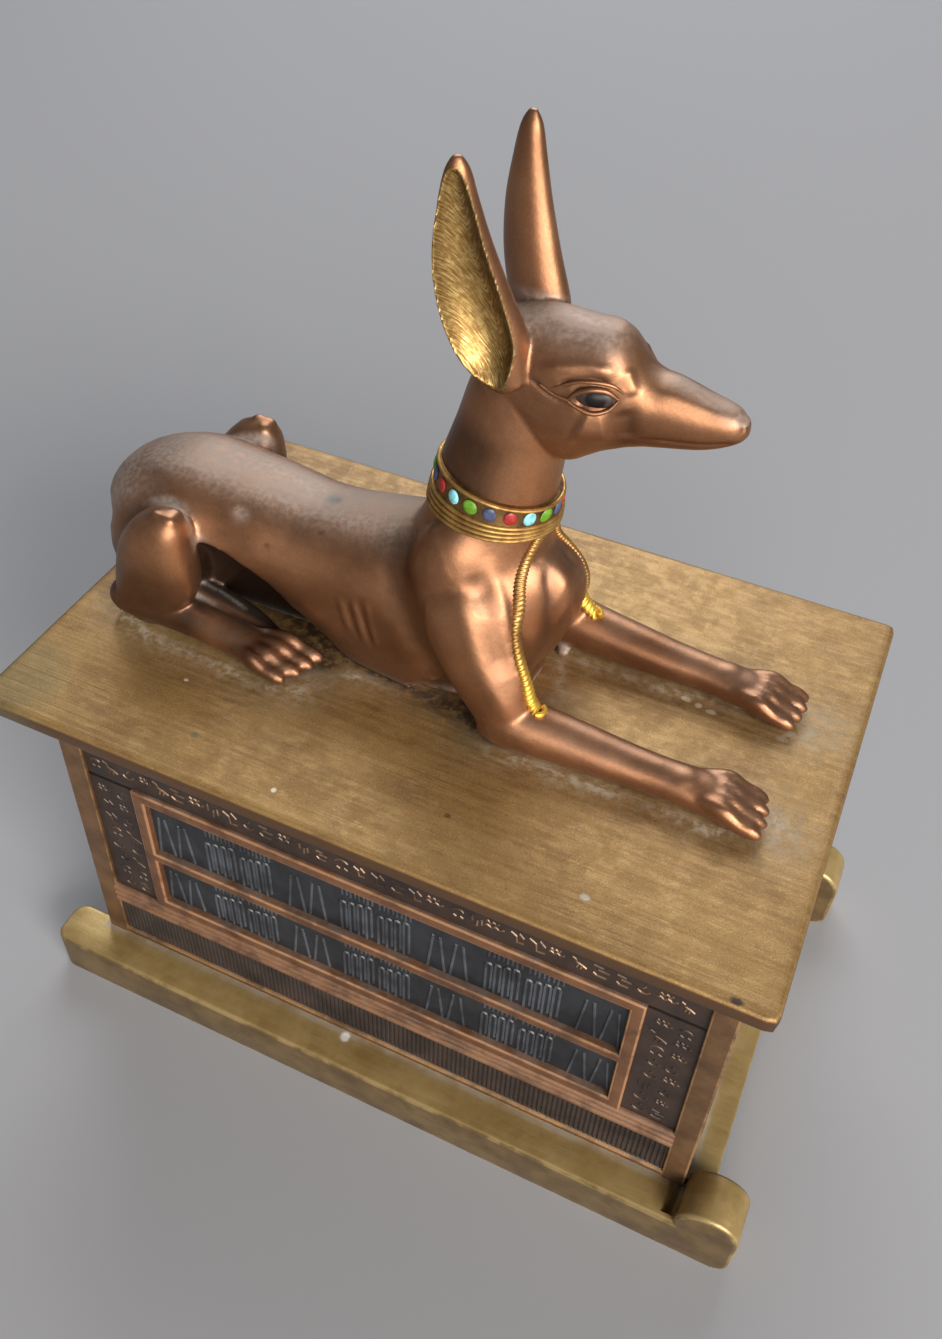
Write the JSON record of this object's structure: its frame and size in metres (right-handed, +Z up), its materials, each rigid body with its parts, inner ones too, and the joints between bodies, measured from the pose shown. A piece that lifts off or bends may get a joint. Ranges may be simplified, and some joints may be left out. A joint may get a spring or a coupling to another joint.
{
  "type": "lidded trinket box with a recumbent jackal",
  "caption": "Slender jackal with tall ears lying on the lift-off lid of an oblong, panelled box on sledge runners; holds small things.",
  "frame": {"origin": "on the standing surface, at the middle of the sledge's length and width", "axes": "+X from the tail to the muzzle, along the runners to their rolls; +Y across the box to the figure's left; +Z up"},
  "size_m": [0.178, 0.1082, 0.2113],
  "materials": {
    "chest_paint": "cast resin in dark brown paint, rubbed with copper and brass metallic paint on its raised parts, satin",
    "lid_paint": "cast resin in brushed brass-ochre metallic paint, satin, dusty round the figure",
    "jackal_paint": "cast resin in copper-brown metallic paint, satin, with gold and coloured enamel-like paint on the collar"
  },
  "bodies": {
    "root": {"chest": "chest_paint", "lid": "lid_paint", "jackal": "jackal_paint"}
  },
  "joints": []
}
